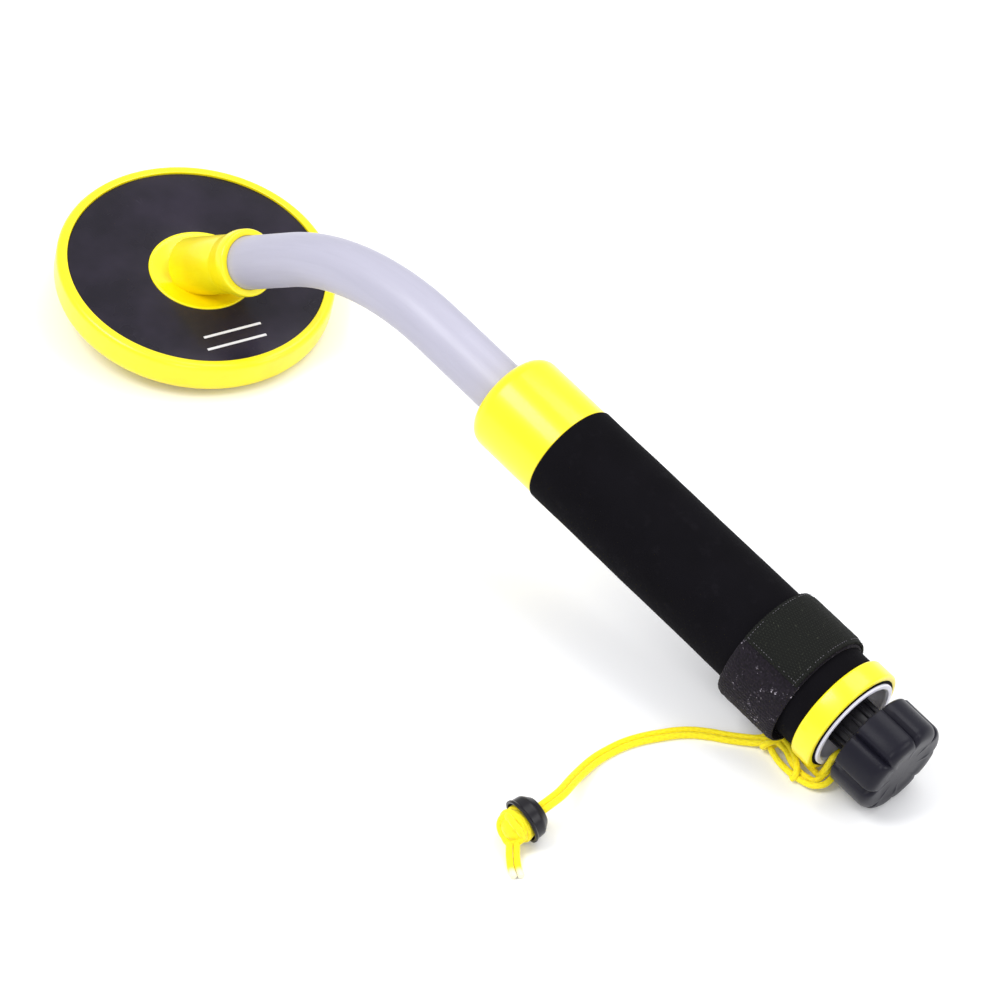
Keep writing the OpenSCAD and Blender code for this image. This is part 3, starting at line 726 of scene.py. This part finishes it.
class PROBE_OT_lanyard(ProbeStep):
    """Lays the lanyard: its loop around the neck, hitch, doubled cord, cup and knot."""
    bl_idname = "probe.lanyard"
    bl_label = "Lanyard"

    def build(self, sizes, look):
        strand = sizes.strand
        line = smooth_line(CORD_ROUTE, 5)
        band = put("lanyard_band", strand_pair(line, strand), WORLD, "plug", "cord_yellow", 80)
        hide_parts("lanyard_cord")

        loop_line = smooth_line(LOOP_ROUTE, 5, True)
        rings = tube_rings(loop_line, strand, strand, 14, closed=True)
        loop = put("neck_loop", lofted(rings, path_closed=True), WORLD, "plug", "cord_yellow", 80)
        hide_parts("lanyard_loop")

        # The hitch: a turn around both legs, a strand across them, and one beside the
        # loop's lower leg that tucks in under the neck
        along = Vector((0.93, -0.36, -0.02)).normalized()
        side = Vector((0, 0, 1)).cross(along).normalized()
        up = along.cross(side)
        wide, high, lean = 6.0 * MM, 2.9 * MM, 1.4 * MM
        turn = [Vector(HITCH) * MM + side * (wide * math.cos(a))
                + up * (high * math.sin(a)) + along * (lean * math.sin(a))
                for a in (math.tau * k / 36 for k in range(36))]
        bight = lofted(tube_rings(turn, strand, strand, 12, closed=True), path_closed=True)
        for route in (BIGHT_ROUTE, CROSS_ROUTE):
            join(bight, lofted(tube_rings(smooth_line(route, 5), strand, strand, 12)))
        hitch = put("hitch", bight, WORLD, "plug", "cord_yellow", 80)

        knot = self.knot(strand)
        tails = None
        for side_shift in (-1, 1):
            off = Vector((0.31, 0.42, 0)) * side_shift * strand
            tail = [p + off for p in smooth_line(TAIL_ROUTE, 6)]
            rings = tube_rings(tail, strand, strand, 14)
            end = tail[-1]
            head = (tail[-1] - tail[-2]).normalized()
            last = rings[-1]
            for scale, push in ((0.93, 0.2), (0.7, 0.5), (0.3, 0.65)):
                rings.append([end + (p - end) * scale + head * push * MM for p in last])
            part = lofted(rings)
            if tails is None:
                tails = part
            else:
                join(tails, part)
        tails = put("cord_tails", tails, WORLD, "plug", "cord_tail", 80)
        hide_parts("lanyard_tails")
        cup = self.cup()
        route = [tuple(p) for p in line]
        length = sum((b - a).length for a, b in zip(line, line[1:]))

    def knot(self, strand):
        """Stopper knot: wraps of both strands around a tight core."""
        bm = bmesh.new()
        centre = Vector(KNOT) * MM
        head = (Vector((-1, 9, -1.2))).normalized()
        side = head.cross(Vector((0, 0, 1))).normalized()
        up = side.cross(head)
        wraps = (
            (7.2, 6.8, 2.6, 0.15, 0.3), (7.6, 7.2, -0.4, -0.2, 0.1), (6.6, 6.4, -3.6, 0.12, -0.3),
            (6.4, 7.2, 0.2, 1.2, 0.2), (6.8, 6.6, -1.0, -1.05, -0.5),
        )
        for wide, high, at, lean, roll in wraps:
            ring = []
            for k in range(40):
                a = math.tau * k / 40
                p = (side * math.cos(a + roll) * wide + up * math.sin(a + roll) * high)
                p += head * (at + math.sin(a) * wide * math.sin(lean))
                p *= 1.0 - 0.06 * abs(math.sin(lean))
                ring.append(centre + p * MM)
            rings = tube_rings(ring, strand * 1.08, strand * 1.0, 12, closed=True)
            join(bm, lofted(rings, path_closed=True))
        core = bmesh.new()
        bmesh.ops.create_icosphere(core, subdivisions=3, radius=7.2 * MM)
        bmesh.ops.translate(core, verts=core.verts, vec=centre)
        uv = core.loops.layers.uv.new("UVMap")
        for face in core.faces:
            for l in face.loops:
                d = l.vert.co - centre
                l[uv].uv = (math.atan2(d.y, d.x) / math.tau, d.z)
        join(bm, core)
        obj = put("stopper_knot", bm, WORLD, "plug", "cord_yellow", 80)
        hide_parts("lanyard_knot")
        return obj

    def cup(self):
        """Bell-shaped cup that the cord runs through, open over the knot."""
        bell = spun([
            (5.3, 12.5, 0.4), (6.9, 12.3, 1.2), (10.2, 8.6, 3.0), (10.6, 4.2, 0.5),
            (11.2, 3.5, 0.3), (11.2, 2.4, 0.3), (9.9, 2.4, 0.2), (9.6, 4.0, 0.5),
            (8.2, 6.8, 1.0), (6.2, 9.4, 0.6), (5.3, 11.4, 0.3)], 64)
        head = Vector(JOINTS["cup_slide"]["axis"])
        place = head.to_track_quat("Z", "Y").to_matrix().to_4x4()
        place.translation = Vector(KNOT) * MM
        obj = put("knot_cup", bell, place, "cup", "plug_plastic")
        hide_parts("cord_cup")
        return obj


# --- Coil head ---------------------------------------------------------------

class PROBE_OT_coil(ProbeStep):
    """Housing, dish and dark face plate of the search coil."""
    bl_idname = "probe.coil"
    bl_label = "Search coil"

    def build(self, sizes, look):
        r, plate, dish = sizes.coil_r / MM, sizes.plate_r / MM, sizes.dish_r / MM
        shell = spun([
            (0, -18.8), (r, -18.8, 8), (r, 1.2, 3), (plate + 0.05, 1.2, 0.6),
            (plate + 0.05, -2.6, 0.2), (31.2, -2.6, 0.2), (31.2, -15), (0, -15)],
            180, False, 10)
        housing = put("coil_housing", shell, COIL, "detector", "yellow_shell")
        ball = ((dish - 1.2) ** 2 + 49) / 14
        bowl = [(math.sin(a) * ball, 0.3 - 7 + ball * (1 - math.cos(a)))
                for a in (math.asin((dish - 1.2) / ball) * k / 16 for k in range(17))]
        dished = spun(bowl + [(dish, 0.3, 0.35), (dish, -3.5)], 128, False)
        off = COIL @ Matrix.Translation((DISH_OFF * MM, 0, 0))
        well = put("dish", dished, off, "detector", "yellow_shell")
        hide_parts("coil_shell")
        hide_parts("coil_shell")

        bm = bmesh.new()
        bmesh.ops.create_circle(bm, segments=144, radius=sizes.plate_r)
        inner = bmesh.ops.create_circle(bm, segments=144, radius=sizes.dish_r + 0.05 * MM)["verts"]
        bmesh.ops.translate(bm, verts=inner, vec=(DISH_OFF * MM, 0, 0))
        bmesh.ops.bridge_loops(bm, edges=bm.edges[:])
        lid = bmesh.ops.extrude_face_region(bm, geom=bm.faces[:])["geom"]
        bmesh.ops.translate(bm, verts=[g for g in lid if isinstance(g, bmesh.types.BMVert)],
                            vec=(0, 0, -2.5 * MM))
        bmesh.ops.recalc_face_normals(bm, faces=bm.faces)
        top = [e for e in bm.edges if all(v.co.z > -1e-5 for v in e.verts)
               and abs(e.calc_face_angle(0)) > 1]
        bmesh.ops.bevel(bm, geom=top, offset=0.45 * MM, segments=3, profile=0.5,
                        affect="EDGES", material=-1)
        plate_obj = put("face_plate_disc", bm, COIL, "detector", "plate_black")
        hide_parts("face_plate")
        self.marks()

    def marks(self):
        """Two plain printed strokes."""
        bm = bmesh.new()
        for centre, long, wide in (((43.6, -14.6), 32.0, 1.5), ((51.0, -18.0), 33.0, 1.5)):
            made = bmesh.ops.create_grid(bm, x_segments=1, y_segments=1, size=0.5)["verts"]
            bmesh.ops.scale(bm, verts=made, vec=(long * MM, wide * MM, 1))
            bmesh.ops.rotate(bm, verts=made, cent=(0, 0, 0),
                             matrix=Matrix.Rotation(math.radians(74.5), 3, "Z"))
            bmesh.ops.translate(bm, verts=made, vec=(centre[0] * MM, centre[1] * MM, 0.03 * MM))
        bmesh.ops.solidify(bm, geom=bm.faces[:], thickness=0.04 * MM)
        bmesh.ops.recalc_face_normals(bm, faces=bm.faces)
        put("plate_strokes", bm, COIL, "detector", "plate_print", 35)


class PROBE_OT_socket(ProbeStep):
    """Angled socket that holds the tube."""
    bl_idname = "probe.socket"
    bl_label = "Tube socket"

    def build(self, sizes, look):
        bm = spun([
            (TUBE_R + 0.08, 46, 0.5), (17.1, 46, 1.6), (17.1, 40.5, 9.0), (SOCKET_R, 31.5, 12.0),
            (SOCKET_R, -4, 0.6), (2.6, -4), (2.6, 3), (TUBE_R + 0.08, 3)], 128)
        obj = put("tube_socket", bm, TUBE, "detector", "yellow_shell")
        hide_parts("hub_socket")


# --- Tube and handle ---------------------------------------------------------

class PROBE_OT_tube(ProbeStep):
    """Bent tube between the coil and the handle."""
    bl_idname = "probe.tube"
    bl_label = "Bent tube"

    def build(self, sizes, look):
        stops = [(0.0, 3.0 - RISE)] + [(BEND * k / 40, 0.0) for k in range(41)]
        stops.append((BEND, NECK + 20.0))
        for k in range(1, 12):
            stops.insert(k, (0.0, (3.0 - RISE) * (1 - k / 12)))
        rings, lengths = [], []
        for radius, order in ((TUBE_R, 1), (TUBE_R - 2.9, -1)):
            for turn, extra in stops[::order]:
                a = math.radians(turn)
                at = Vector((BEND_R * (1 - math.cos(a)), 0, RISE + BEND_R * math.sin(a)))
                at += Vector((math.sin(a), 0, math.cos(a))) * extra
                flat = Vector((math.cos(a), 0, -math.sin(a)))
                rings.append([(at + flat * radius * math.cos(b)
                               + Vector((0, radius * math.sin(b), 0))) * MM
                              for b in (math.tau * k / 72 for k in range(72))])
                lengths.append((extra + math.radians(turn) * BEND_R) * MM * 10)
        lengths.append(lengths[0])
        obj = put("bent_tube_skin", lofted(rings, path_closed=True, lengths=lengths), TUBE,
                  "detector", "tube_grey")
        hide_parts("bent_tube")


class PROBE_OT_handle(ProbeStep):
    """Collar, grip sleeve, end ring and the pipe's open end."""
    bl_idname = "probe.handle"
    bl_label = "Handle"

    def build(self, sizes, look):
        edge = PIPE_R + 1.5
        collar = spun([
            (TUBE_R + 0.1, 0, 0.4), (edge, 0, 8.0), (edge, COLLAR_LEN, 0.5),
            (PIPE_R, COLLAR_LEN), (PIPE_R, 22), (TUBE_R + 0.1, 22)], 128, True, 12)
        obj = put("yellow_collar", collar, HANDLE, "detector", "yellow_shell")
        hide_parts("reducer_collar")
        sleeve = spun([
            (PIPE_R, COLLAR_LEN + 0.05), (SLEEVE_R, COLLAR_LEN + 0.05, 0.8),
            (SLEEVE_R, SLEEVE_END, 0.8), (PIPE_R, SLEEVE_END)], 144)
        bmesh.ops.subdivide_edges(
            sleeve, edges=[e for e in sleeve.edges if e.calc_length() > 0.1], cuts=80)
        for v in sleeve.verts:
            if v.co.xy.length > 25.5 * MM:
                soft = noise.noise(v.co * 28.0) * 0.22 + noise.noise(v.co * 90.0) * 0.08
                v.co.xy *= 1 + soft * MM / v.co.xy.length
        obj = put("sleeve_skin", sleeve, HANDLE, "detector", "grip_rubber")
        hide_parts("grip_sleeve")
        lining = spun([
            (PIPE_R + 0.1, RING_END - 1), (25.5, RING_END - 1), (25.5, RING_END + 0.45, 0.2),
            (PIPE_R + 0.1, RING_END + 0.45, 0.1)], 96)
        put("sleeve_lining", lining, HANDLE, "detector", "grip_rubber")
        ring = spun([
            (PIPE_R, SLEEVE_END + 0.1), (28.5, SLEEVE_END + 0.1, 1.4), (28.5, RING_END, 1.4),
            (25.6, RING_END, 0.3), (25.6, RING_END - 2), (PIPE_R, RING_END - 2)], 144)
        obj = put("yellow_ring", ring, HANDLE, "detector", "yellow_shell")
        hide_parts("end_ring")
        pipe = spun([
            (BORE_R, 22), (PIPE_R, 22), (PIPE_R, PIPE_END, 0.4), (BORE_R + 0.9, PIPE_END, 0.3),
            (BORE_R, PIPE_END - 1.2, 0.5)], 128)
        obj = put("pipe_skin", pipe, HANDLE, "detector", "pipe_white")
        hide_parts("handle_pipe")


class PROBE_OT_plug(ProbeStep):
    """Plug flange and ribbed neck."""
    bl_idname = "probe.plug"
    bl_label = "Plug"

    def build(self, sizes, look):
        top = KNOB_AT - 1.2
        boss = spun([
            (4.05, PLUG_FACE - 3), (BORE_R - 0.4, PLUG_FACE - 3), (BORE_R - 0.4, PLUG_FACE, 0.5),
            (16.5, PLUG_FACE, 0.3), (16.0, PLUG_FACE + 0.8, 0.3), (11.6, PLUG_FACE + 0.8, 1.2),
            (11.6, top - 0.1, 0.5), (4.05, top - 0.1)], 96)
        for k in range(12):
            rib = bmesh.ops.create_cone(boss, cap_ends=True, segments=12, radius1=1.25 * MM,
                                        radius2=1.05 * MM, depth=(top - 1 - PLUG_FACE) * MM)
            a = math.radians(30 * k)
            bmesh.ops.translate(boss, verts=rib["verts"], vec=(
                11.8 * MM * math.cos(a), 11.8 * MM * math.sin(a), (PLUG_FACE + top - 1) / 2 * MM))
        obj = put("ribbed_neck", boss, HANDLE, "plug", "plug_plastic")
        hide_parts("plug_boss")


class PROBE_OT_knob(ProbeStep):
    """Lobed clamp knob."""
    bl_idname = "probe.knob"
    bl_label = "Knob"

    def build(self, sizes, look):
        outer = sizes.knob_r / MM
        step = math.tau / sizes.lobes
        per = 20

        def reach(a, cut):
            """Outline radius with its tip shortened by cut."""
            off = abs((a / step) % 1.0 - 0.5)
            side = (0.5 - off) * step * outer
            crown = 0.9 * (2 * off) ** 3
            return outer - cut - crown - 2.0 * math.exp(-(side / 1.25) ** 2)

        levels = [(0.0, 3.2), (0.0, 1.6), (0.35, 0.55), (1.1, 0.0), (6.0, 0.0), (12.0, 0.0),
                  (18.5, 0.0)]
        levels += [(18.5 + 5 * math.sin(a), 5 * (1 - math.cos(a)))
                   for a in (math.pi / 2 * k / 8 for k in range(1, 9))]
        levels += [(23.5, 7.5), (23.35, 9.0), (23.1, 10.5), (22.9, 14.0)]
        rings = [[Vector((reach(a, cut) * math.cos(a), reach(a, cut) * math.sin(a), KNOB_AT + z)) * MM
                  for a in (step * k / per for k in range(sizes.lobes * per))]
                 for z, cut in levels]
        obj = put("lobed_knob", lofted(rings), HANDLE, "knob", "knob_plastic", 32)
        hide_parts("knob")


# --- Strap -------------------------------------------------------------------

STRAP_R = 26.55
WEAVE_R = 27.5                      # the radius that the weave's length is counted at
SLACK_AT, SLACK_SPREAD = -52, 34
PATCH_FROM, PATCH_TO = 98.0, 230.0


def strap_radius(angle, extra, slack):
    off = (angle - SLACK_AT + 540) % 360 - 180
    return STRAP_R * MM + extra + slack * math.exp(-(off / SLACK_SPREAD) ** 2)


def strap_point(angle, extra, along, slack):
    r = strap_radius(angle, extra, slack)
    a = math.radians(angle)
    return Vector((r * math.cos(a), r * math.sin(a), along))


class PROBE_OT_strap(ProbeStep):
    """Wrist strap of loop webbing, its hook patch and the stitches."""
    bl_idname = "probe.strap"
    bl_label = "Wrist strap"

    def build(self, sizes, look):
        low, wide = STRAP_AT * MM, STRAP_W * MM
        t, slack = sizes.strap_t, sizes.slack
        across = 44

        def section(angle):
            """One loop of points round the webbing's cut, from the inside out."""
            inner = [strap_point(angle, 0.02 * MM, low + wide * k / across, slack)
                     for k in range(across + 1)]
            outer = []
            for k in range(across + 1):
                z = low + wide * k / across
                edge = min(k, across - k) / 3
                swell = min(1.0, 0.55 + 0.45 * edge)
                p = strap_point(angle, t * swell, z, slack)
                rough = noise.noise(p * 1500.0) * 0.5 + noise.noise(p * 600.0) * 0.5
                out = Vector((p.x, p.y, 0)).normalized()
                frill = Vector((0, 0, noise.noise(p * 900.0) * 0.3 * MM)) if edge < 1 else Vector()
                outer.append(p + out * rough * sizes.pile + frill)
            return inner + outer[::-1]

        count = 400
        rings = [section(360 * k / count) for k in range(count)]
        lengths = [math.tau * WEAVE_R * MM * k / count for k in range(count + 1)]
        bm = lofted(rings, path_closed=True, lengths=lengths)
        strap = put("strap_webbing", bm, HANDLE, "detector", "webbing_black", 70)
        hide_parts("wrist_strap")
        self.patch(low, t, slack)

    def patch(self, low, t, slack):
        """Hook tape over the strap's end, sewn round its edge."""
        start, stop, count, across = PATCH_FROM, PATCH_TO, 150, 36
        base = low + 0.5 * MM
        wide = (STRAP_W - 1) * MM

        def section(angle):
            ends = min(1.0, min(angle - start, stop - angle) / 2.2)
            pts = [strap_point(angle, t + 0.15 * MM, base + wide * k / across, slack)
                   for k in range(across + 1)]
            top = []
            for k in range(across + 1):
                edge = min(k, across - k)
                lift = (0.55 + 0.45 * min(1.0, edge / 4)) * (0.6 + 0.4 * ends)
                p = strap_point(angle, t + 0.2 * MM + 1.8 * MM * lift, base + wide * k / across, slack)
                out = Vector((p.x, p.y, 0)).normalized()
                ripple = noise.noise(p * 420.0) * 0.12 * MM
                serrate = 0.0
                if edge == 0:
                    serrate = 0.22 * MM * math.sin(math.radians(angle) * 110) * (1 if k else -1)
                top.append(p + out * ripple + Vector((0, 0, serrate)))
            return pts + top[::-1]

        rings = [section(start + (stop - start) * k / count) for k in range(count + 1)]
        bm = lofted(rings)
        patch = put("hook_tape", bm, HANDLE, "detector", "hook_patch", 60)
        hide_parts("strap_patch")

        # Stitches run along both long edges and across the ends
        rand = random.Random(7)
        bm = bmesh.new()
        top = t + 2.0 * MM
        spots = []
        for z, way in ((base + 1.6 * MM, 0), (base + wide - 1.6 * MM, 0)):
            spots += [(a, z, way) for a in [start + 1.5 + 3.1 * k for k in range(43)]]
        for a in (start + 3.4, stop - 3.4):
            spots += [(a, base + (2.2 + 1.62 * k) * MM, 1) for k in range(19)]
        for a, z, way in spots:
            if rand.random() < 0.22:
                continue
            p = strap_point(a, top, z, slack)
            out = Vector((p.x, p.y, 0)).normalized()
            round_way = Vector((-out.y, out.x, 0))
            upward = Vector((0, 0, 1))
            along, aslant = (upward, round_way) if way else (round_way, upward)
            along = (along + aslant * rand.uniform(-0.12, 0.12)).normalized()
            made = bmesh.ops.create_uvsphere(bm, u_segments=6, v_segments=4, radius=0.42 * MM)["verts"]
            bmesh.ops.scale(bm, verts=made, vec=(0.42, 0.42, 1.1 + rand.uniform(-0.3, 0.2)))
            turn = axes(along.cross(out).normalized(), out, along, p - out * 0.05 * MM)
            bmesh.ops.transform(bm, matrix=turn, verts=made)
        put("tape_stitches", bm, HANDLE, "detector", "stitch_thread", 80)


# --- Panel and registration --------------------------------------------------

STEPS = (
    PROBE_OT_stage, PROBE_OT_finishes, PROBE_OT_lanyard, PROBE_OT_coil, PROBE_OT_socket,
    PROBE_OT_tube, PROBE_OT_handle, PROBE_OT_plug, PROBE_OT_knob, PROBE_OT_strap,
)


class PROBE_PT_panel(bpy.types.Panel):
    bl_label = "Underwater Probe"
    bl_space_type = "VIEW_3D"
    bl_region_type = "UI"
    bl_category = "Probe"

    def draw(self, context):
        layout = self.layout
        for group in (context.scene.probe_sizes, context.scene.probe_look):
            box = layout.box()
            for prop in group.__annotations__:
                box.prop(group, prop)
        for step in STEPS:
            layout.operator(step.bl_idname)


CLASSES = (ProbeLook, ProbeSizes, *STEPS, PROBE_PT_panel)


def register():
    for cls in CLASSES:
        bpy.utils.register_class(cls)
    bpy.types.Scene.probe_look = bpy.props.PointerProperty(type=ProbeLook)
    bpy.types.Scene.probe_sizes = bpy.props.PointerProperty(type=ProbeSizes)


def unregister():
    del bpy.types.Scene.probe_sizes
    del bpy.types.Scene.probe_look
    for cls in reversed(CLASSES):
        bpy.utils.unregister_class(cls)


def main():
    register()
    for step in STEPS:
        group, name = step.bl_idname.split(".")
        getattr(getattr(bpy.ops, group), name)()


if __name__ == "__main__":
    main()
